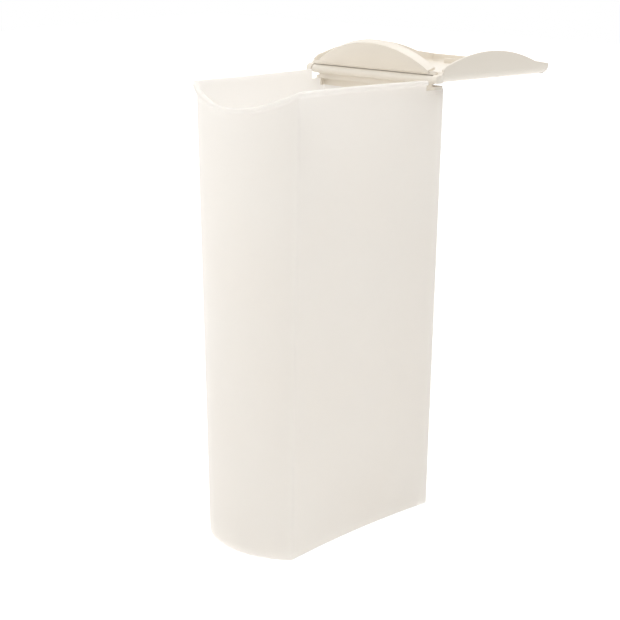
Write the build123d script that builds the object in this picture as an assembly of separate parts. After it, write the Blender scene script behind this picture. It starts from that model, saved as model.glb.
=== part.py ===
from build123d import *
import math
import os

# Tall food container with a flip lid. Millimetres, origin at the centre of the base,
# +Z up, the pouring front towards -Y and the hinge towards +Y.

# Body
body_height = 300.0
side_length = 133.9
front_width = 84.7
back_width = 103.5
width_draft = 11.6
front_bulge = 14.9
side_waist = 3.4
back_waist = 3.5
front_corner_radius = 2.0
back_corner_radius = 3.0
least_corner_radius = 0.4
wall = 1.6
floor = 2.0
foot_radius = 1.4

# Rim
rim_overhang = 2.2
rim_height = 3.0
rim_dip = 11.7
rim_fall = 4.0
rear_drop = 6.5
rear_open_length = 17.4

# Hinge
axis_inset = 11.5
barrel_radius = 2.8
rod_radius = 1.25
rod_clearance = 0.05
ear_gap = 0.4
rail_end_gap = 0.3
lid_opening_angle = 180.7

# Rail
rail_thickness = 1.9
rail_setback = 2.0
web_thickness = 1.8
web_rise = 2.7
web_top_reach = 2.2
web_top_drop = 1.5
clip_half_width = 30.0
clip_depth = 14.0
clip_thickness = 1.6
clip_gap = 0.2
locating_depth = 5.0
locating_thickness = 1.4
locating_gap = 0.3
locating_start = 4.5

# Lid
lid_panel = 1.8
lid_wall = 1.6
lid_rest_gap = 0.3
lid_edge_radius = 6.0
lid_inner_radius = 2.4
lid_side_clearance = 5.1
lid_front_clearance = 3.8
lid_corner_reach = 15.2
lid_corner_radius = 3.0
ear_radius = 3.4
ear_length = 4.4
rod_end_cover = 1.2
curl_clearance = 0.4
curl_thickness = 2.4
curl_rise = 0.8
panel_edge_gap = 1.3
skirt_root = 1.0
skirt_root_drop = 2.5
skirt_knee = 5.4
skirt_knee_depth = 9.6
skirt_start = 12.0
skirt_start_depth = 12.0
skirt_middle = 57.0
skirt_depth = 18.9
skirt_end = 118.0
skirt_end_depth = 10.0
front_lip_depth = 6.6
tongue_half_width = 46.0
tongue_shoulder = 6.0
tongue_depth = 21.5
tongue_thickness = 1.6
tongue_lean = 5.0
tongue_flange = 7.0
spout_rib_half_width = 34.0
spout_rib_gap = 0.8
spout_rib_thickness = 1.4
spout_rib_depth = 3.6

# Sizes that follow
half_length = side_length / 2
rear_start = half_length - rear_open_length
axis_y = half_length - axis_inset
axis_z = body_height - rim_fall * (axis_y + half_length) / side_length
rear_top = axis_z - rear_drop
rim_lean = math.degrees(math.atan2(rim_fall, side_length))
panel_under = axis_z + lid_rest_gap
panel_top = panel_under + lid_panel
lid_nose = -half_length - front_bulge - rim_overhang - lid_front_clearance - lid_wall
reach = 2 * (body_height + side_length)


def half_width_at(y, height):
    # Half width of the outer wall's straight chord, before the waist is taken off.
    front = (front_width - width_draft * (1 - height / body_height)) / 2
    back = (back_width - width_draft * (1 - height / body_height)) / 2
    return front + (back - front) * (y + half_length) / side_length


def grown_disc(start, middle, end, grow, turn=0):
    # The full disc of an arc through three points, with its radius changed by grow.
    arc = ThreePointArc(start, middle, end)
    return Pos(arc.arc_center) * Rot(0, 0, turn) * Circle(arc.radius + grow)


def body_plan(height, grow):
    # The wall's outline at a height, moved outwards by grow.
    front = half_width_at(-half_length, height)
    back = half_width_at(half_length, height)
    waist = half_width_at(0, height) - side_waist
    bulge = front_bulge * front / (front_width / 2)
    nose = grown_disc((-front, -half_length), (0, -half_length - bulge), (front, -half_length), grow)
    right = grown_disc((front, -half_length), (waist, 0), (back, half_length), -grow, 180)
    left = grown_disc((-front, -half_length), (-waist, 0), (-back, half_length), -grow)
    behind = grown_disc((-back, half_length), (0, half_length - back_waist), (back, half_length), -grow)
    middle = Pos(0, bulge / 2) * Rectangle(2 * back_width, side_length)
    plan = nose + middle - right - left - behind
    front_radius = max(front_corner_radius + grow, least_corner_radius)
    back_radius = max(back_corner_radius + grow, least_corner_radius)
    plan = fillet(plan.vertices().sort_by(Axis.Y)[:2], front_radius)
    plan = fillet(plan.vertices().sort_by(Axis.Y)[-2:], back_radius)
    return Pos(0, 0, height) * plan


def zone(x_range, y_range, z_range):
    # A box between the given limits, for trimming.
    sizes = [high - low for low, high in (x_range, y_range, z_range)]
    middle = [(high + low) / 2 for low, high in (x_range, y_range, z_range)]
    return Pos(*middle) * Box(*sizes)


def dip_arc(lower):
    # The front rim's dipped line in the XZ plane, moved down by lower.
    corner = front_width / 2
    top = body_height - lower
    return ThreePointArc((-corner, top), (0, top - rim_dip), (corner, top))


def above_dip(lower):
    # Everything above the dipped line at the front.
    corner = front_width / 2
    side = corner + rim_overhang + wall
    top = body_height - lower
    with BuildSketch(Plane.XZ) as profile:
        with BuildLine():
            dip_arc(lower)
            Polyline(
                (corner, top),
                (side, top),
                (side, body_height + wall),
                (-side, body_height + wall),
                (-side, top),
                (-corner, top),
            )
        make_face()
    return Pos(0, -half_length, 0) * extrude(profile.sketch, half_length)


def above_slope(lower):
    # Everything above the straight rim, which falls from the front corners to the back.
    front = (-half_length, body_height - lower)
    back = (3 * half_length, body_height - lower - 2 * rim_fall)
    with BuildSketch(Plane.YZ) as profile:
        with BuildLine():
            Polyline(front, back, (3 * half_length, reach), (-half_length, reach), close=True)
        make_face()
    return extrude(profile.sketch, reach, both=True)


def make_rim():
    ring = body_plan(body_height, rim_overhang) - body_plan(body_height, -wall / 2)
    tall_ring = extrude(ring, -(rim_dip + 2 * rim_height))
    band = above_dip(rim_height) - above_dip(0)
    sides = above_slope(rim_height) - above_slope(0)
    return (tall_ring & band) + (tall_ring & sides)


def make_container():
    shell = loft([body_plan(0, 0), body_plan(body_height, 0)], ruled=True)
    shell = fillet(shell.faces().sort_by(Axis.Z)[0].edges(), foot_radius)
    cavity = loft([body_plan(floor, -wall), body_plan(body_height, -wall)], ruled=True)
    rear = zone((-reach, reach), (rear_start, reach), (rear_top, reach))
    return shell + make_rim() - cavity - above_dip(0) - above_slope(0) - rear


def hinge_bar(radius, half_span):
    # A bar along the hinge axis, centred on the body.
    return Pos(0, axis_y, axis_z) * Rot(0, 90, 0) * Cylinder(radius, 2 * half_span)


def along_hinge(points, half_span):
    # A prism along X from points measured from the hinge axis.
    with BuildSketch(Plane.YZ) as profile:
        with BuildLine():
            Polyline(*points, close=True)
        make_face()
    return Pos(0, axis_y, axis_z) * extrude(profile.sketch, half_span, both=True)


def wall_half_width_at_hinge():
    waist = side_waist * (1 - (axis_y / half_length) ** 2)
    return half_width_at(axis_y, body_height) - waist


ear_inside = wall_half_width_at_hinge() + ear_gap
barrel_half = ear_inside - rail_end_gap


def make_hinge_rail():
    seat = axis_y + rail_setback
    behind = zone((-reach, reach), (seat, reach), (0, reach))
    clip_zone = zone((-clip_half_width, clip_half_width), (seat, reach), (0, reach))
    plate = extrude(body_plan(rear_top, 0), rail_thickness) & behind
    clip_outline = body_plan(rear_top, clip_gap + clip_thickness)
    bridge = extrude(clip_outline, rail_thickness) & clip_zone
    clip_ring = clip_outline - body_plan(rear_top, clip_gap)
    back_part = zone((-clip_half_width, clip_half_width), (0, reach), (0, reach))
    clip = Pos(0, 0, rail_thickness) * extrude(clip_ring, -(clip_depth + rail_thickness)) & back_part
    inside = body_plan(rear_top, -wall - locating_gap)
    lip_ring = inside - body_plan(rear_top, -wall - locating_gap - locating_thickness)
    lip_zone = zone((-reach, reach), (axis_y + locating_start, reach), (0, reach))
    lip_height = locating_depth + rail_thickness / 2
    lip = Pos(0, 0, rail_thickness / 2) * extrude(lip_ring, -lip_height) & lip_zone
    foot = rear_top - axis_z
    web = along_hinge(
        [
            (rail_setback, foot),
            (rail_setback + web_thickness, foot),
            (rail_setback + web_thickness, foot + web_rise),
            (web_top_reach, -web_top_drop),
            (rail_setback, -web_top_drop),
        ],
        half_width_at(axis_y, rear_top) - side_waist,
    )
    barrel = hinge_bar(barrel_radius, barrel_half)
    bore = hinge_bar(rod_radius + rod_clearance, reach)
    ear_room = hinge_bar(ear_radius + ear_gap, reach) - hinge_bar(2 * ear_radius, barrel_half)
    return plate + bridge + clip + lip - ear_room + web + barrel - bore


def lid_half_width_at(y):
    # Half width over the lid's straight sides, which clear the rim at both ends.
    hinge_half = ear_inside + ear_length
    front_half = front_width / 2 + rim_overhang + lid_side_clearance + lid_wall
    return front_half + (hinge_half - front_half) * (y + half_length) / (axis_y + half_length)


rod_half = lid_half_width_at(axis_y) - rod_end_cover


def lid_plan(grow):
    rear = axis_y + ear_radius
    front = -half_length - lid_corner_reach
    rear_half = lid_half_width_at(rear)
    front_half = lid_half_width_at(front)
    with BuildSketch() as plan:
        with BuildLine():
            Line((-rear_half, rear), (-front_half, front))
            ThreePointArc((-front_half, front), (0, lid_nose), (front_half, front))
            Line((front_half, front), (rear_half, rear))
            Line((rear_half, rear), (-rear_half, rear))
        make_face()
        fillet(plan.vertices().sort_by(Axis.Y)[:2], lid_corner_radius)
        if grow:
            offset(amount=grow)
    return plan.sketch


def rounded_block(grow, top, radius):
    # The lid's outline drawn down from a top face, with its sides and front rounded over.
    depth = 2 * skirt_depth
    block = Pos(0, 0, top - depth) * extrude(lid_plan(grow), depth)
    top_edges = block.faces().sort_by(Axis.Z)[-1].edges().sort_by(Axis.Y)[:-1]
    return fillet(top_edges, radius)


def skirt_profile():
    # The side view of the lid's skirts and front lip, as a prism across the lid.
    root = (axis_y - skirt_root, axis_z - skirt_root_drop)
    knee = (axis_y - skirt_knee, panel_top - skirt_knee_depth)
    start = (axis_y - skirt_start, panel_top - skirt_start_depth)
    middle = (axis_y - skirt_middle, panel_top - skirt_depth)
    end = (axis_y - skirt_end, panel_top - skirt_end_depth)
    tip = (lid_nose, panel_top - front_lip_depth)
    rear = axis_y + ear_radius
    with BuildSketch(Plane.YZ) as profile:
        with BuildLine():
            Polyline(tip, (lid_nose, panel_top), (rear, panel_top), (rear, axis_z), root)
            ThreePointArc(root, knee, start)
            ThreePointArc(start, middle, end)
            Line(end, tip)
        make_face()
    return extrude(profile.sketch, reach, both=True)


def make_tray():
    outside = rounded_block(0, panel_top, lid_edge_radius)
    inside = rounded_block(-lid_wall, panel_under, lid_inner_radius)
    behind = zone((-ear_inside, ear_inside), (axis_y, reach), (0, reach))
    edge = hinge_bar(barrel_radius + curl_clearance + panel_edge_gap, ear_inside)
    return (outside & skirt_profile()) - inside - behind - edge


def make_curl():
    # The panel's rear edge, turned down under the rail's barrel.
    inner = barrel_radius + curl_clearance
    outer = inner + curl_thickness
    ring = hinge_bar(outer, ear_inside + lid_wall) - hinge_bar(inner, reach)
    lower_front = zone((-reach, reach), (-reach, axis_y), (0, axis_z + curl_rise))
    return ring & lower_front


def tongue_outline(inset, top):
    # The half-moon in the XZ plane, from the hinge axis, its arc and sides drawn in by inset.
    half = tongue_half_width - inset
    with BuildSketch(Plane.XZ) as profile:
        with BuildLine():
            Polyline((-half, -tongue_shoulder), (-half, -top), (half, -top), (half, -tongue_shoulder))
            ThreePointArc(
                (half, -tongue_shoulder),
                (0, inset - tongue_depth),
                (-half, -tongue_shoulder),
            )
        make_face()
    return profile.sketch


def make_hinge_tongue():
    # The half-moon that hangs inside the mouth when the lid is shut, with its flange.
    top = barrel_radius + curl_clearance + curl_thickness / 2
    plate = extrude(tongue_outline(0, top), tongue_thickness / 2, both=True)
    ring = tongue_outline(0, -lid_rest_gap - lid_panel / 2) - tongue_outline(tongue_thickness, -lid_panel)
    flange = extrude(ring, tongue_flange)
    lean = math.degrees(math.atan2(tongue_lean, tongue_depth - top))
    tongue = Pos(0, axis_y, axis_z - top) * Rot(lean, 0, 0) * Pos(0, 0, top) * (plate + flange)
    return tongue - hinge_bar(barrel_radius + curl_clearance, reach)


def make_spout_rib():
    # The low rib inside the lid's front that steadies it in the pouring lip.
    outline = body_plan(body_height, -wall - spout_rib_gap)
    inner = body_plan(body_height, -wall - spout_rib_gap - spout_rib_thickness)
    ring = extrude(outline - inner, -(spout_rib_depth + lid_panel / 2))
    middle = zone(
        (-spout_rib_half_width, spout_rib_half_width),
        (-reach, -half_length),
        (0, reach),
    )
    return Pos(0, 0, panel_under + lid_panel / 2 - body_height) * (ring & middle)


def make_flip_lid():
    ear = hinge_bar(ear_radius, lid_half_width_at(axis_y)) - hinge_bar(2 * ear_radius, ear_inside)
    socket = hinge_bar(rod_radius + rod_clearance, rod_half + rod_clearance)
    shut = make_tray() + make_curl() + make_hinge_tongue() + make_spout_rib() + ear - socket
    hinge = Axis((0, axis_y, axis_z), (1, 0, 0))
    return shut.rotate(hinge, -rim_lean - lid_opening_angle)


def make_hinge_rod():
    return hinge_bar(rod_radius, rod_half)


pieces = {
    "container": make_container(),
    "hinge_rail": make_hinge_rail(),
    "hinge_rod": make_hinge_rod(),
    "flip_lid": make_flip_lid(),
}

os.makedirs("parts", exist_ok=True)
for name, piece in pieces.items():
    export_step(piece, f"parts/{name}.step")
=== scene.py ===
# Studio scene of a tall food container with a flip lid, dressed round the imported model.
# Lengths in the dictionaries are millimetres, meshes are metres. +Z is up, the pouring
# front faces -Y and the hinge lies towards +Y.
import math

import bmesh
import bpy
from mathutils import Matrix, Vector


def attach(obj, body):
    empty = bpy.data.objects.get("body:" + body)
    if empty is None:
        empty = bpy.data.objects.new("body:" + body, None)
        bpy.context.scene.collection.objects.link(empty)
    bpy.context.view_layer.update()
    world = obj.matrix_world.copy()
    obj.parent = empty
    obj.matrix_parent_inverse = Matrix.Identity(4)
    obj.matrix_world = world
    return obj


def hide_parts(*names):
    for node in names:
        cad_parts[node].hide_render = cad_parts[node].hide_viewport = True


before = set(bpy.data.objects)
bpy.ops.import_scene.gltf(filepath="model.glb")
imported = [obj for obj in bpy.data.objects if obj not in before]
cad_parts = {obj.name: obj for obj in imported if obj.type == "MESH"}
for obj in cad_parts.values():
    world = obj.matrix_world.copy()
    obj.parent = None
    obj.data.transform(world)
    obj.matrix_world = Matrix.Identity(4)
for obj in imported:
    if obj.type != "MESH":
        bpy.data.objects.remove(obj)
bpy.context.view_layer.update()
scene = bpy.context.scene
mm = 0.001
print("frame loaded:", ", ".join(sorted(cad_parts)))


# Camera, fitted to the rim, the foot and the open lid of the photographed container
camera = {
    "place": (0.61844, -0.73382, 0.41534),
    "azimuth": 40.4028,
    "elevation": 15.6754,
    "roll": 0.1724,
    "lens": 87.5561,
    "sensor": 36.0,
    "clipEnd": 20.0,
}


def makeCamera(v):
    turn, rise, roll = (math.radians(v[key]) for key in ("azimuth", "elevation", "roll"))
    back = Vector((math.sin(turn) * math.cos(rise), -math.cos(turn) * math.cos(rise), math.sin(rise)))
    right = Vector((math.cos(turn), math.sin(turn), 0))
    up = back.cross(right)
    rolledRight = math.cos(roll) * right + math.sin(roll) * up
    rolledUp = math.cos(roll) * up - math.sin(roll) * right
    data = bpy.data.cameras.new("studioCamera")
    data.lens = v["lens"]
    data.sensor_width = v["sensor"]
    data.clip_end = v["clipEnd"]
    eye = bpy.data.objects.new("studioCamera", data)
    axes = Matrix((rolledRight, rolledUp, back)).transposed().to_4x4()
    eye.matrix_world = Matrix.Translation(v["place"]) @ axes
    scene.collection.objects.link(eye)
    scene.camera = eye


makeCamera(camera)
print("camera placed")


# Node building, for materials and for geometry
def addNode(tree, kind, values=None, **settings):
    node = tree.nodes.new(kind)
    for key, value in settings.items():
        setattr(node, key, value)
    for key, value in (values or {}).items():
        if isinstance(value, bpy.types.NodeSocket):
            tree.links.new(value, node.inputs[key])
        else:
            node.inputs[key].default_value = value
    return node


def newMaterial(name):
    material = bpy.data.materials.new(name)
    material.use_nodes = True
    material.node_tree.nodes.clear()
    return material, material.node_tree


def grainAndTint(tree, v):
    # Fine moulded grain as a bump, and a slow drift between two tints
    place = addNode(tree, "ShaderNodeTexCoord").outputs["Object"]
    fine = {"Vector": place, "Scale": v["grainScale"], "Detail": v["grainDetail"]}
    slow = {"Vector": place, "Scale": v["cloudScale"], "Detail": v["cloudDetail"]}
    grain = addNode(tree, "ShaderNodeTexNoise", fine)
    cloud = addNode(tree, "ShaderNodeTexNoise", slow)
    relief = {"Height": grain.outputs["Fac"], "Strength": v["bumpStrength"], "Distance": v["bumpDepth"]}
    bump = addNode(tree, "ShaderNodeBump", relief)
    tint = addNode(tree, "ShaderNodeMix", data_type="RGBA")
    tree.links.new(cloud.outputs["Fac"], tint.inputs["Factor"])
    tint.inputs["A"].default_value = v["darkTint"]
    tint.inputs["B"].default_value = v["lightTint"]
    return tint.outputs["Result"], bump.outputs["Normal"]


frosted = {
    "grainScale": 900.0,
    "grainDetail": 3.0,
    "cloudScale": 14.0,
    "cloudDetail": 2.0,
    "bumpStrength": 0.06,
    "bumpDepth": 0.0004,
    "darkTint": (0.965, 0.94, 0.905, 1),
    "lightTint": (0.98, 0.965, 0.94, 1),
    "roughness": 0.36,
    "refraction": 1.49,
    "clearness": 0.45,
    "shine": 0.4,
    "milkiness": 0.35,
}


def makeFrostedBody(v):
    # Milky polypropylene: light comes through the wall
    material, tree = newMaterial("frostedBody")
    colour, relief = grainAndTint(tree, v)
    plastic = addNode(
        tree,
        "ShaderNodeBsdfPrincipled",
        {
            "Base Color": colour,
            "Roughness": v["roughness"],
            "IOR": v["refraction"],
            "Transmission Weight": v["clearness"],
            "Specular IOR Level": v["shine"],
            "Normal": relief,
        },
    )
    through = addNode(tree, "ShaderNodeBsdfTranslucent", {"Color": colour})
    parts = {0: v["milkiness"], 1: plastic.outputs["BSDF"], 2: through.outputs["BSDF"]}
    mixed = addNode(tree, "ShaderNodeMixShader", parts)
    addNode(tree, "ShaderNodeOutputMaterial", {"Surface": mixed.outputs["Shader"]})
    return material


opaque = {
    "grainScale": 1400.0,
    "grainDetail": 2.0,
    "cloudScale": 22.0,
    "cloudDetail": 2.0,
    "bumpStrength": 0.05,
    "bumpDepth": 0.0003,
}
cream = {"lightTint": (0.885, 0.82, 0.72, 1), "darkTint": (0.86, 0.79, 0.68, 1), "roughness": 0.34}
railCream = {"lightTint": (0.87, 0.81, 0.72, 1), "darkTint": (0.84, 0.78, 0.68, 1), "roughness": 0.4}
rodWhite = {"lightTint": (0.82, 0.80, 0.75, 1), "darkTint": (0.78, 0.76, 0.71, 1), "roughness": 0.5}


def makeOpaque(name, finish):
    # Moulded opaque plastic
    material, tree = newMaterial(name)
    colour, relief = grainAndTint(tree, {**opaque, **finish})
    values = {"Base Color": colour, "Roughness": finish["roughness"], "Normal": relief}
    plastic = addNode(tree, "ShaderNodeBsdfPrincipled", values)
    addNode(tree, "ShaderNodeOutputMaterial", {"Surface": plastic.outputs["BSDF"]})
    return material


frostedBody = makeFrostedBody(frosted)
creamPlastic = makeOpaque("creamPlastic", cream)
railPlastic = makeOpaque("railPlastic", railCream)
rodPlastic = makeOpaque("rodPlastic", rodWhite)
print("materials made")


# Shapes shared by the body and the lid
def circleThrough(a, b, c):
    # Centre and radius of the circle through three points of a plane
    d = 2 * (a[0] * (b[1] - c[1]) + b[0] * (c[1] - a[1]) + c[0] * (a[1] - b[1]))
    sa, sb, sc = (p[0] ** 2 + p[1] ** 2 for p in (a, b, c))
    x = (sa * (b[1] - c[1]) + sb * (c[1] - a[1]) + sc * (a[1] - b[1])) / d
    y = (sa * (c[0] - b[0]) + sb * (a[0] - c[0]) + sc * (b[0] - a[0])) / d
    return x, y, math.hypot(a[0] - x, a[1] - y)


def steps(first, last, count):
    return [first + (last - first) * i / count for i in range(count + 1)]


def roundedCorner(before, corner, after, count):
    # Points of the curve that rounds a corner off, between its two tangent points
    points = []
    for t in steps(0, 1, count):
        x = (1 - t) ** 2 * before[0] + 2 * t * (1 - t) * corner[0] + t * t * after[0]
        y = (1 - t) ** 2 * before[1] + 2 * t * (1 - t) * corner[1] + t * t * after[1]
        points.append((x, y))
    return points


def newObject(name, points, faces, material=None):
    mesh = bpy.data.meshes.new(name)
    mesh.from_pydata(points, [], faces)
    piece = bpy.data.objects.new(name, mesh)
    scene.collection.objects.link(piece)
    if material:
        mesh.materials.append(material)
    return piece


def tidyMesh(piece, join=2e-6):
    # Doubles merged, slivers dropped, faces pointing outwards
    work = bmesh.new()
    work.from_mesh(piece.data)
    bmesh.ops.remove_doubles(work, verts=work.verts, dist=join)
    bmesh.ops.dissolve_degenerate(work, edges=work.edges, dist=join / 2)
    bmesh.ops.recalc_face_normals(work, faces=work.faces)
    for face in work.faces:
        face.smooth = True
    work.to_mesh(piece.data)
    work.free()


def smoothByAngle(piece, degrees):
    # Edges sharper than the angle stay crisp
    work = bmesh.new()
    work.from_mesh(piece.data)
    for edge in work.edges:
        if len(edge.link_faces) == 2:
            edge.smooth = edge.calc_face_angle() < math.radians(degrees)
    work.to_mesh(piece.data)
    work.free()


# Body: one moulded shell whose section follows the outline round, drawn by Geometry Nodes
body = {
    "height": 300.0,
    "halfLength": 66.95,
    "frontWidth": 84.7,
    "backWidth": 103.5,
    "draft": 11.6,
    "frontBulge": 14.9,
    "sideWaist": 3.4,
    "backWaist": 3.5,
    "frontCut": 0.95,
    "backCut": 3.4,
    "wall": 1.6,
    "floor": 2.0,
    "footRadius": 1.4,
    "recess": 0.6,
    "rimReach": 2.2,
    "rimHeight": 3.0,
    "rimDip": 11.7,
    "rimFall": 4.0,
    "rearStart": 49.55,
    "rearTop": 289.8435,
    "noseSteps": 20,
    "sideSteps": 30,
    "backSteps": 14,
    "cornerSteps": 5,
    "rearSteps": 5,
    "stepBlend": 0.5,
    "levels": (15, 45, 80, 120, 160, 200, 240, 262),
    "underRim": (7, 4.2),
    "beadLower": 0.75,
    "beadUpper": 1.3,
    "edgeRadius": 0.5,
    "floorFillet": 0.6,
    "crisp": 50,
}


def halfOutline(v, height):
    # The right half of the wall's outline at a height, from the nose to the back's middle
    draft = v["draft"] * (1 - height / v["height"])
    front, back = (v["frontWidth"] - draft) / 2, (v["backWidth"] - draft) / 2
    half = v["halfLength"]
    bulge = v["frontBulge"] * 2 * front / v["frontWidth"]
    nose = circleThrough((-front, -half), (0, -half - bulge), (front, -half))
    side = circleThrough((front, -half), ((front + back) / 2 - v["sideWaist"], 0), (back, half))
    rear = circleThrough((-back, half), (0, half - v["backWaist"]), (back, half))

    def onNose(x):
        return x, nose[1] - math.sqrt(nose[2] ** 2 - x * x)

    def onSide(y):
        return side[0] - math.sqrt(side[2] ** 2 - (y - side[1]) ** 2), y

    def onRear(x):
        return x, rear[1] - math.sqrt(rear[2] ** 2 - x * x)

    cut, backCut = v["frontCut"], v["backCut"]
    points = [onNose(x) for x in steps(0, front - cut, v["noseSteps"])]
    points += roundedCorner(points[-1], (front, -half), onSide(cut - half), v["cornerSteps"])[1:]
    step = v["rearStart"]
    stations = steps(cut - half, step - 1, v["sideSteps"])[1:]
    stations += [step - v["stepBlend"], step - 0.02, step] + steps(step, half - backCut, v["rearSteps"])[1:]
    points += [onSide(y) for y in stations]
    points += roundedCorner(points[-1], (back, half), onRear(back - backCut), v["cornerSteps"])[1:]
    points += [onRear(x) for x in steps(back - backCut, 0, v["backSteps"])[1:]]
    return points


def rimLevel(v, x, y):
    # Height of the rim over a point of the outline
    if y > v["rearStart"] - 0.01:
        return v["rearTop"]
    if y > -v["halfLength"]:
        return v["height"] - v["rimFall"] * (y + v["halfLength"]) / (2 * v["halfLength"])
    corner = v["frontWidth"] / 2
    dip = circleThrough((-corner, 0), (0, -v["rimDip"]), (corner, 0))
    return v["height"] + dip[1] - math.sqrt(dip[2] ** 2 - x * x)


def bodySection(v):
    # Rows of the section from the middle of the underside, out, up, over the rim and back
    # in to the middle of the floor: outward move, move of the bead, 1 if from the rim,
    # height, spread
    keys = ("wall", "footRadius", "floor", "rimHeight", "rimReach")
    wall, foot, floor, high, reach = (v[key] for key in keys)
    rows = [(0, 0, 0, v["recess"], 0), (0, 0, 0, v["recess"], 0.5), (0, 0, 0, v["recess"], 0.9)]
    rows += [(0, 0, 0, 0.1, 0.912), (0, 0, 0, 0, 0.92)]
    for turn in steps(0, math.pi / 2, 5):
        rows.append((foot * (math.sin(turn) - 1), 0, 0, foot * (1 - math.cos(turn)), 1))
    levels, underRim = v["levels"], v["underRim"]
    rows += [(0, 0, 0, z, 1) for z in levels]
    rows += [(0, 0, 1, -z, 1) for z in underRim]
    rows += [(0, 0.25, 1, -high - 0.1, 1), (0, 0.6, 1, -high + 0.1, 1)]
    lower, upper = v["beadLower"], v["beadUpper"]
    for turn in steps(0, math.pi / 2, 4):
        rows.append((0, reach - lower * (1 - math.sin(turn)), 1, lower * (1 - math.cos(turn)) - high, 1))
    for turn in steps(0, math.pi / 2, 5):
        out = reach - upper * (1 - math.cos(turn))
        rows.append((0, out, 1, -upper * (1 - math.sin(turn)), 1))
    edge = v["edgeRadius"]
    for turn in steps(0, math.pi / 2, 3):
        rows.append((-wall + edge * (1 - math.sin(turn)), 0, 1, -edge * (1 - math.cos(turn)), 1))
    rows += [(-wall, 0, 1, -z, 1) for z in reversed(underRim)]
    rows += [(-wall, 0, 0, z, 1) for z in reversed(levels)]
    inner = v["floorFillet"]
    for turn in steps(0, math.pi / 2, 4):
        rows.append((-wall - inner * (1 - math.cos(turn)), 0, 0, floor + inner * (1 - math.sin(turn)), 1))
    rows += [(-wall - inner, 0, 0, floor, 0.9), (-wall - inner, 0, 0, floor, 0.5), (0, 0, 0, floor, 0)]
    return rows


def storePoints(name, points, attributes):
    # A mesh of loose points that carries one value or vector for each point
    piece = newObject(name, points, [])
    for key, values in attributes.items():
        isVector = isinstance(values[0], (tuple, list, Vector))
        layer = piece.data.attributes.new(key, "FLOAT_VECTOR" if isVector else "FLOAT", "POINT")
        for item, value in zip(layer.data, values):
            if isVector:
                item.vector = value
            else:
                item.value = value
    return piece


def mouldedShellTree():
    tree = bpy.data.node_groups.new("MouldedShell", "GeometryNodeTree")
    interface = tree.interface
    interface.new_socket("Geometry", in_out="INPUT", socket_type="NodeSocketGeometry")
    for name, kind in (
        ("Section", "NodeSocketObject"),
        ("Columns", "NodeSocketInt"),
        ("Rows", "NodeSocketInt"),
        ("Height", "NodeSocketFloat"),
        ("Plastic", "NodeSocketMaterial"),
    ):
        interface.new_socket(name, in_out="INPUT", socket_type=kind)
    interface.new_socket("Geometry", in_out="OUTPUT", socket_type="NodeSocketGeometry")
    given = addNode(tree, "NodeGroupInput").outputs
    section = addNode(tree, "GeometryNodeObjectInfo", {"Object": given["Section"]}).outputs["Geometry"]
    wide = addNode(tree, "FunctionNodeIntegerMath", {0: given["Columns"], 1: 1}, operation="ADD")
    grid = addNode(
        tree, "GeometryNodeMeshGrid", {"Vertices X": wide.outputs[0], "Vertices Y": given["Rows"]}
    )
    index = addNode(tree, "GeometryNodeInputIndex").outputs[0]
    column = addNode(tree, "FunctionNodeIntegerMath", {0: index, 1: given["Rows"]}, operation="DIVIDE")
    around = addNode(
        tree, "FunctionNodeIntegerMath", {0: column.outputs[0], 1: given["Columns"]}, operation="MODULO"
    )
    row = addNode(tree, "FunctionNodeIntegerMath", {0: index, 1: given["Rows"]}, operation="MODULO")

    def sample(source, key, at, kind):
        field = addNode(tree, "GeometryNodeInputNamedAttribute", {"Name": key}, data_type=kind)
        value = addNode(tree, "GeometryNodeSampleIndex", data_type=kind, domain="POINT")
        tree.links.new(source, value.inputs["Geometry"])
        tree.links.new(field.outputs["Attribute"], value.inputs["Value"])
        tree.links.new(at, value.inputs["Index"])
        return value.outputs["Value"]

    def mathOf(operation, *values):
        return addNode(tree, "ShaderNodeMath", dict(enumerate(values)), operation=operation).outputs[0]

    def vectorOf(operation, *values):
        return addNode(tree, "ShaderNodeVectorMath", dict(enumerate(values)), operation=operation)

    outline = given["Geometry"]
    at = around.outputs[0]
    places = ("lowPlace", "topPlace", "outward")
    low, top, outward = (sample(outline, key, at, "FLOAT_VECTOR") for key in places)
    rim, bead = (sample(outline, key, at, "FLOAT") for key in ("rimLevel", "bead"))
    step = row.outputs[0]
    keys = ("offset", "beadOffset", "fromRim", "lift", "spread")
    offset, beadOffset, fromRim, lift, spread = (sample(section, key, step, "FLOAT") for key in keys)
    level = mathOf("ADD", mathOf("MULTIPLY", fromRim, rim), lift)
    share = mathOf("DIVIDE", level, given["Height"])
    along = vectorOf("SCALE", vectorOf("SUBTRACT", top, low).outputs[0])
    tree.links.new(share, along.inputs["Scale"])
    wallPlace = vectorOf("ADD", low, along.outputs[0]).outputs[0]
    move = mathOf("ADD", offset, mathOf("MULTIPLY", beadOffset, bead))
    push = vectorOf("SCALE", outward)
    tree.links.new(move, push.inputs["Scale"])
    moved = vectorOf("ADD", wallPlace, push.outputs[0]).outputs[0]
    drawn = vectorOf("SCALE", moved)
    tree.links.new(spread, drawn.inputs["Scale"])
    raised = addNode(tree, "ShaderNodeCombineXYZ", {"Z": level}).outputs[0]
    place = vectorOf("ADD", drawn.outputs[0], raised).outputs[0]
    shaped = addNode(tree, "GeometryNodeSetPosition", {"Geometry": grid.outputs["Mesh"], "Position": place})
    merged = addNode(tree, "GeometryNodeMergeByDistance", {"Geometry": shaped.outputs[0], "Distance": 2e-6})
    smooth = addNode(tree, "GeometryNodeSetShadeSmooth", {"Geometry": merged.outputs[0]})
    real = addNode(tree, "GeometryNodeRealizeInstances", {"Geometry": smooth.outputs[0]})
    dressed = addNode(
        tree, "GeometryNodeSetMaterial", {"Geometry": real.outputs[0], "Material": given["Plastic"]}
    )
    addNode(tree, "NodeGroupOutput", {"Geometry": dressed.outputs[0]})
    return tree


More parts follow.
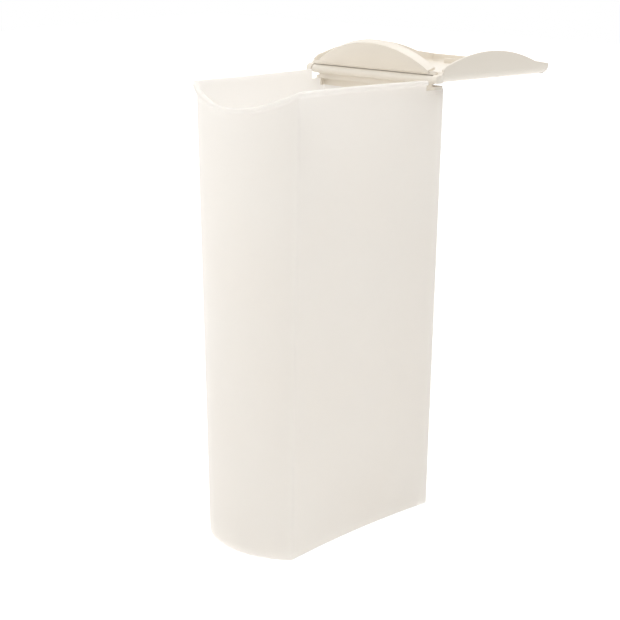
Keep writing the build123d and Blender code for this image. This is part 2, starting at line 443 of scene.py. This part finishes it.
def makeContainerShell(v, material):
    low, top = halfOutline(v, 0), halfOutline(v, v["height"])
    low += [(-x, y) for x, y in low[-2:0:-1]]
    top += [(-x, y) for x, y in top[-2:0:-1]]
    count = len(top)
    outward, rims, beads = [], [], []
    for i, (x, y) in enumerate(top):
        ahead, behind = top[(i + 1) % count], top[i - 1]
        along = Vector((ahead[0] - behind[0], ahead[1] - behind[1], 0)).normalized()
        outward.append(Vector((along.y, -along.x, 0)))
        rims.append(rimLevel(v, x, y) * mm)
        beads.append(max(0.0, min(1.0, (v["rearStart"] - y) / v["stepBlend"])))
    outline = storePoints(
        "containerShell",
        [(x * mm, y * mm, 0) for x, y in low],
        {
            "lowPlace": [(x * mm, y * mm, 0) for x, y in low],
            "topPlace": [(x * mm, y * mm, 0) for x, y in top],
            "outward": outward,
            "rimLevel": rims,
            "bead": beads,
        },
    )
    rows = bodySection(v)
    names = ("offset", "beadOffset", "fromRim", "lift", "spread")
    scales = (mm, mm, 1, mm, 1)
    columns = {key: [row[i] * scales[i] for row in rows] for i, key in enumerate(names)}
    section = storePoints("shellSection", [(0, 0, i * mm) for i in range(len(rows))], columns)
    tree = mouldedShellTree()
    modifier = outline.modifiers.new("MouldedShell", "NODES")
    modifier.node_group = tree
    values = {
        "Section": section,
        "Columns": count,
        "Rows": len(rows),
        "Height": v["height"] * mm,
        "Plastic": material,
    }
    for item in tree.interface.items_tree:
        if item.in_out == "INPUT" and item.name in values:
            modifier[item.identifier] = values[item.name]
    bpy.context.view_layer.update()
    evaluated = outline.evaluated_get(bpy.context.evaluated_depsgraph_get())
    mesh = bpy.data.meshes.new_from_object(evaluated)
    outline.modifiers.clear()
    outline.data = mesh
    bpy.data.objects.remove(section)
    tidyMesh(outline)
    smoothByAngle(outline, v["crisp"])
    return outline


containerShell = makeContainerShell(body, frostedBody)
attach(containerShell, "container")
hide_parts("container")
print("container shell drawn:", len(containerShell.data.polygons), "faces")


# Lid: drawn flat and shut, then turned back on its hinge to where it lies open
lid = {
    "axisY": 55.45,
    "axisZ": 296.3435,
    "turn": -1.711 - 180.7,
    "hingeHalf": 54.675,
    "cornerHalf": 51.25,
    "earInside": 50.3,
    "panelUnder": 0.3,
    "panelTop": 2.1,
    "wall": 1.6,
    "edgeRadius": 6.0,
    "innerRadius": 2.4,
    "lipRound": 0.78,
    "noseReach": 144.9,
    "cornerReach": 137.6,
    "cornerCut": 2.2,
    "rearEdge": 4.35,
    "earRadius": 3.4,
    "curlInner": 3.2,
    "curlOuter": 5.6,
    "curlHalf": 51.0,
    "curlRise": 0.8,
    "tongueHalf": 46.0,
    "tongueShoulder": 6.0,
    "tongueDepth": 21.5,
    "tongueThick": 1.6,
    "tongueLean": 5.0,
    "tongueFlange": 7.0,
    "tongueTop": 4.4,
    "ribHalf": 33.5,
    "ribInset": 2.4,
    "ribThick": 1.4,
    "ribDepth": 3.6,
    "ribEase": 0.5,
    "cornerSpine": 8,
    "tongueEase": 0.45,
    "crisp": 40,
}
skirt = {
    "root": (1.0, 4.6),
    "knee": (5.4, 9.6),
    "start": (12.0, 12.0),
    "middle": (57.0, 18.9),
    "end": (118.0, 10.0),
    "lip": (144.9, 6.6),
}
lidTurn = Matrix.Translation((0, lid["axisY"] * mm, lid["axisZ"] * mm)) @ Matrix.Rotation(
    math.radians(lid["turn"]), 4, "X"
)


def placeLidPiece(name, points, faces):
    # Points come in millimetres from the hinge axis with the lid shut
    piece = newObject(name, [tuple(lidTurn @ (Vector(p) * mm)) for p in points], faces, creamPlastic)
    tidyMesh(piece)
    smoothByAngle(piece, lid["crisp"])
    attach(piece, "lid")
    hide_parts("flip_lid")
    return piece


def gridFaces(columns, rows, closedRows=False):
    faces = []
    for i in range(columns - 1):
        for j in range(rows if closedRows else rows - 1):
            k = (j + 1) % rows
            faces.append((i * rows + j, (i + 1) * rows + j, (i + 1) * rows + k, i * rows + k))
    return faces


def arcDepth(a, b, c, s):
    # Depth at s on the arc through three points of the skirt's side view
    x, y, radius = circleThrough(a, b, c)
    side = 1 if b[1] > y else -1
    return y + side * math.sqrt(max(radius ** 2 - (s - x) ** 2, 0))


def skirtDepth(s):
    # Depth of the skirt from the panel's outer face, s from the hinge towards the spout
    root, knee, start, middle, end, lip = skirt.values()
    if s < start[0]:
        return arcDepth(root, knee, start, max(s, root[0]))
    if s < end[0]:
        return arcDepth(start, middle, end, s)
    return end[1] + (lip[1] - end[1]) * (s - end[0]) / (lip[0] - end[0])


def lidOutline(v):
    # The right half of the lid's outline, from the hinge to the middle of the nose
    def sideHalf(s):
        return v["hingeHalf"] + (v["cornerHalf"] - v["hingeHalf"]) * s / v["cornerReach"]

    corner = (v["cornerHalf"] - 0.02, -v["cornerReach"])
    nose = circleThrough((-corner[0], corner[1]), (0, -v["noseReach"]), corner)
    cut = v["cornerCut"]
    stations = [v["rearEdge"]] + steps(5.5, 12, 6) + steps(12, v["cornerReach"] - cut, 44)[1:]
    points = [(sideHalf(s), -s) for s in stations]
    start = (corner[0] - cut, nose[1] - math.sqrt(nose[2] ** 2 - (corner[0] - cut) ** 2))
    points += roundedCorner(points[-1], corner, start, 6)[1:]
    points += [(x, nose[1] - math.sqrt(nose[2] ** 2 - x * x)) for x in steps(start[0], 0, 22)[1:]]
    return points


def traySection(v, depth):
    # Rows from the panel's outer face, over the edge, down the skirt and up inside
    top, under, wall, lip = v["panelTop"], v["panelUnder"], v["wall"], v["lipRound"]
    foot = top - depth
    rows = [(0, 0, top), (0, 0.5, top)]
    for turn in steps(0, math.pi / 2, 8):
        radius = v["edgeRadius"]
        rows.append((-radius * (1 - math.sin(turn)), 1, top - radius * (1 - math.cos(turn))))
    for turn in steps(0, math.pi, 6):
        rows.append((-lip + lip * math.cos(turn), 1, foot + lip - lip * math.sin(turn)))
    for turn in steps(0, math.pi / 2, 5):
        radius = v["innerRadius"]
        out = -wall - radius * (1 - math.cos(turn))
        rows.append((out, 1, under - radius * (1 - math.sin(turn))))
    rows += [(-wall - v["innerRadius"], 0.5, under), (0, 0, under)]
    return [(out, spread, max(z, foot)) for out, spread, z in rows]


def makeLidTray(v):
    outline = lidOutline(v)
    outline += [(-x, y) for x, y in reversed(outline[:-1])]
    last = len(outline) - 1
    points = []
    for i, (x, y) in enumerate(outline):
        ahead, behind = outline[min(i + 1, last)], outline[max(i - 1, 0)]
        along = Vector((ahead[0] - behind[0], ahead[1] - behind[1])).normalized()
        outward = Vector((-along.y, along.x))
        if outward.dot(Vector((x, y + v["cornerReach"] / 2))) < 0:
            outward = -outward
        if i in (0, last):
            outward = Vector((math.copysign(1, x), 0))
        spineY = max(y, -v["cornerReach"] + v["cornerSpine"])
        rows = traySection(v, skirtDepth(-y))
        for out, spread, z in rows:
            px, py = x + outward.x * out, y + outward.y * out
            points.append((px * spread, spineY + (py - spineY) * spread, z))
    count = len(rows)
    faces = gridFaces(len(outline), count)
    half = count // 2
    for base in (0, last * count):
        for j in range(half):
            faces.append((base + j, base + j + 1, base + count - 2 - j, base + count - 1 - j))
    return placeLidPiece("lidTray", points, faces)


def prism(name, profile, low, high, ease=0.5):
    # A profile of the YZ plane drawn along X with its end edges eased
    count = len(profile)
    middle = [sum(p[i] for p in profile) / count for i in (0, 1)]
    far = max(math.hypot(p[0] - middle[0], p[1] - middle[1]) for p in profile)
    points = []
    small = ease * 0.3
    ends = [(low, ease), (low + small, small), (low + ease, 0)]
    ends += [(high - ease, 0), (high - small, small), (high, ease)]
    for x, shrink in ends:
        scale = 1 - shrink / far
        for y, z in profile:
            points.append((x, middle[0] + (y - middle[0]) * scale, middle[1] + (z - middle[1]) * scale))
    last = len(ends) - 1
    faces = gridFaces(len(ends), count, closedRows=True)
    faces += [tuple(range(count)), tuple(range(last * count, (last + 1) * count))]
    return placeLidPiece(name, points, faces)


def makeEars(v):
    radius = v["earRadius"]
    profile = [(-v["rearEdge"], v["panelTop"] - 0.1), (-v["rearEdge"], -5.2), (-3.2, -4.3)]
    profile += [(radius * math.sin(t), -radius * math.cos(t)) for t in steps(-0.35, math.pi / 2, 12)]
    profile += [(radius - 0.1, 0.9), (radius - 0.7, v["panelTop"] - 0.5), (radius - 1.8, v["panelTop"] - 0.1)]
    for name, low, high in (
        ("lidEarRight", v["earInside"], v["hingeHalf"]),
        ("lidEarLeft", -v["hingeHalf"], -v["earInside"]),
    ):
        prism(name, profile, low, high)


def makeCurl(v):
    inner, outer = v["curlInner"], v["curlOuter"]
    low, high = math.pi - math.asin(v["curlRise"] / inner), 1.5 * math.pi
    profile = [(outer * math.cos(t), outer * math.sin(t)) for t in steps(low, high, 16)]
    profile += [(inner * math.cos(t), inner * math.sin(t)) for t in steps(high, low, 16)]
    return prism("hingeCurl", profile, -v["curlHalf"], v["curlHalf"], ease=0.2)


def tongueEdge(v, inset):
    # The half-moon's edge in the XZ plane, drawn in by inset
    half, depth = v["tongueHalf"] - inset, v["tongueDepth"] - inset
    x, z, radius = circleThrough((-half, -v["tongueShoulder"]), (0, -depth), (half, -v["tongueShoulder"]))
    sweep = math.asin(half / radius)
    edge = [(half, -v["tongueTop"])]
    edge += [(radius * math.sin(t), z - radius * math.cos(t)) for t in steps(sweep, -sweep, 56)]
    return edge + [(-half, -v["tongueTop"])]


def makeTongue(v):
    thick, flange = v["tongueThick"] / 2, -v["tongueFlange"]
    soft, thickness = v["tongueEase"], v["tongueThick"]
    rows = [(soft, thick), (soft * 0.3, thick - soft * 0.3), (0, thick - soft), (0, flange + soft)]
    rows += [(soft * 0.3, flange + soft * 0.3), (soft, flange), (thickness - soft, flange)]
    rows += [(thickness, flange + soft), (thickness, -thick - soft), (thickness + soft, -thick)]
    edges = [(tongueEdge(v, inset), y) for inset, y in rows]
    lean = math.atan2(v["tongueLean"], v["tongueDepth"] - v["tongueTop"])
    points = []
    for i in range(len(edges[0][0])):
        column = [(edge[i][0], y, edge[i][1]) for edge, y in edges]
        column.insert(0, (column[0][0], thick, -v["tongueTop"]))
        column.append((column[-1][0], -thick, -v["tongueTop"]))
        for x, y, z in column:
            down = -z - v["tongueTop"]
            py = y * math.cos(lean) + down * math.sin(lean)
            pz = y * math.sin(lean) - down * math.cos(lean)
            points.append((x, py, pz - v["tongueTop"]))
    return placeLidPiece("hingeTongue", points, gridFaces(len(edges[0][0]), len(rows) + 2, closedRows=True))


def makeSpoutRib(v):
    nose = halfOutline(body, body["height"])[: body["noseSteps"] + 1]
    outline = [p for p in nose if p[0] <= v["ribHalf"]]
    outline = [(-x, y) for x, y in reversed(outline[1:])] + outline
    front = body["frontWidth"] / 2
    tip, corner = outline[len(outline) // 2], -body["halfLength"]
    circle = circleThrough((-front, corner), tip, (front, corner))
    top, foot = v["panelUnder"] + 0.4, v["panelUnder"] - v["ribDepth"]
    outer, inner = v["ribInset"], v["ribInset"] + v["ribThick"]
    ease = v["ribEase"]
    small = ease * 0.3
    section = [(outer, top), (outer, foot + ease), (outer + small, foot + small)]
    section += [(outer + ease, foot), (inner - ease, foot), (inner - small, foot + small)]
    section += [(inner, foot + ease), (inner, top)]
    points = []
    for x, y in outline:
        outward = Vector((x, y - circle[1])).normalized()
        for inset, z in section:
            points.append((x - outward.x * inset, y - outward.y * inset - v["axisY"], z))
    count = len(section)
    faces = gridFaces(len(outline), count, closedRows=True)
    faces += [tuple(range(count)), tuple(range((len(outline) - 1) * count, len(outline) * count))]
    return placeLidPiece("spoutRib", points, faces)


makeLidTray(lid)
makeEars(lid)
makeCurl(lid)
makeTongue(lid)
makeSpoutRib(lid)
print("lid drawn")

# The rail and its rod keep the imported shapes
for name, material in (("hinge_rail", railPlastic), ("hinge_rod", rodPlastic)):
    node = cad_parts[name]
    node.data.materials.clear()
    node.data.materials.append(material)
print("rail and rod dressed")


# Studio: a pale floor that reads white, a white surround and soft lamps
studio = {
    "floorSide": 3.0,
    "floorTone": 0.86,
    "worldLight": 0.64,
    "lookAt": (0, 0, 0.15),
    "lamps": (
        ("topLamp", 1.2, 9.0, (0.1, 0.5, 1.5)),
        ("frontLamp", 1.4, 8.0, (-1.0, -1.2, 1.0)),
    ),
}


def seenDirectly(tree):
    # 1 for rays that come from the camera, a reflection or through the plastic
    path = addNode(tree, "ShaderNodeLightPath").outputs
    seen = addNode(
        tree, "ShaderNodeMath", {0: path["Is Camera Ray"], 1: path["Is Glossy Ray"]}, operation="MAXIMUM"
    )
    seen = addNode(
        tree, "ShaderNodeMath", {0: seen.outputs[0], 1: path["Is Transmission Ray"]}, operation="MAXIMUM"
    )
    return seen.outputs[0]


def makeStudio(v):
    side = v["floorSide"]
    corners = [(-side, -side, 0), (side, -side, 0), (side, side, 0), (-side, side, 0)]
    material, tree = newMaterial("paleFloor")
    tone = v["floorTone"]
    pale = addNode(tree, "ShaderNodeBsdfDiffuse", {"Color": (tone, tone, tone, 1)})
    lift = addNode(tree, "ShaderNodeEmission", {"Color": (1, 1, 1, 1), "Strength": seenDirectly(tree)})
    both = addNode(tree, "ShaderNodeAddShader", {0: pale.outputs[0], 1: lift.outputs[0]})
    addNode(tree, "ShaderNodeOutputMaterial", {"Surface": both.outputs[0]})
    newObject("studioFloor", corners, [(0, 1, 2, 3)], material)
    world = bpy.data.worlds.new("studioWorld")
    world.use_nodes = True
    scene.world = world
    tree = world.node_tree
    tree.nodes.clear()
    level = addNode(
        tree, "ShaderNodeMapRange", {"Value": seenDirectly(tree), "To Min": v["worldLight"], "To Max": 1.0}
    )
    glow = addNode(tree, "ShaderNodeBackground", {"Color": (1, 1, 1, 1), "Strength": level.outputs[0]})
    addNode(tree, "ShaderNodeOutputWorld", {"Surface": glow.outputs[0]})
    for name, size, power, place in v["lamps"]:
        data = bpy.data.lights.new(name, "AREA")
        data.size = size
        data.energy = power
        lamp = bpy.data.objects.new(name, data)
        scene.collection.objects.link(lamp)
        lamp.location = place
        lamp.rotation_euler = (Vector(v["lookAt"]) - lamp.location).to_track_quat("-Z", "Y").to_euler()


makeStudio(studio)
scene.view_settings.view_transform = "Standard"
print("studio lit")
